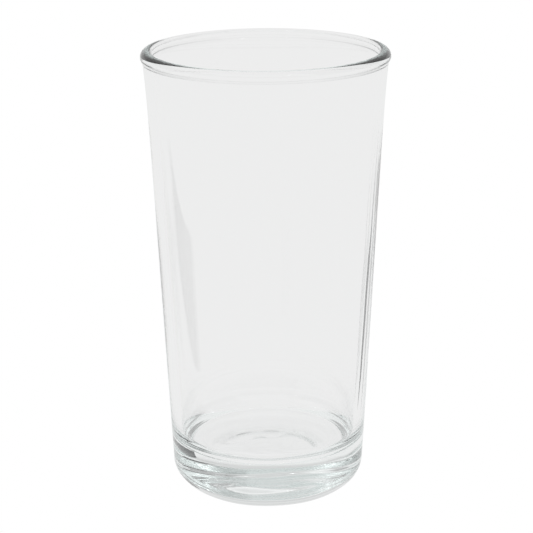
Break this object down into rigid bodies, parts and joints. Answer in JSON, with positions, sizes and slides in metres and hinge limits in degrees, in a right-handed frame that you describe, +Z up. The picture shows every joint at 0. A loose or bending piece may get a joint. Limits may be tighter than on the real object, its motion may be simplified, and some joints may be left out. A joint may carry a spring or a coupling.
{
  "type": "mixing glass",
  "caption": "Tall clear glass for mixing drinks: slightly tapered wall, thickened flat-topped rim, thick heavy base with a rounded heel.",
  "frame": {"origin": "centre of the base, on the plane that the glass stands on", "axes": "+Z up along the turning axis, out of the mouth; the glass is round, so +X and +Y are any two square directions"},
  "size_m": [0.081, 0.081, 0.15],
  "materials": {
    "clear_glass": "clear pressed soda-lime glass, fire-polished smooth, with a finely stippled underside"
  },
  "bodies": {
    "root": {"glass_body": "clear_glass"}
  },
  "joints": []
}
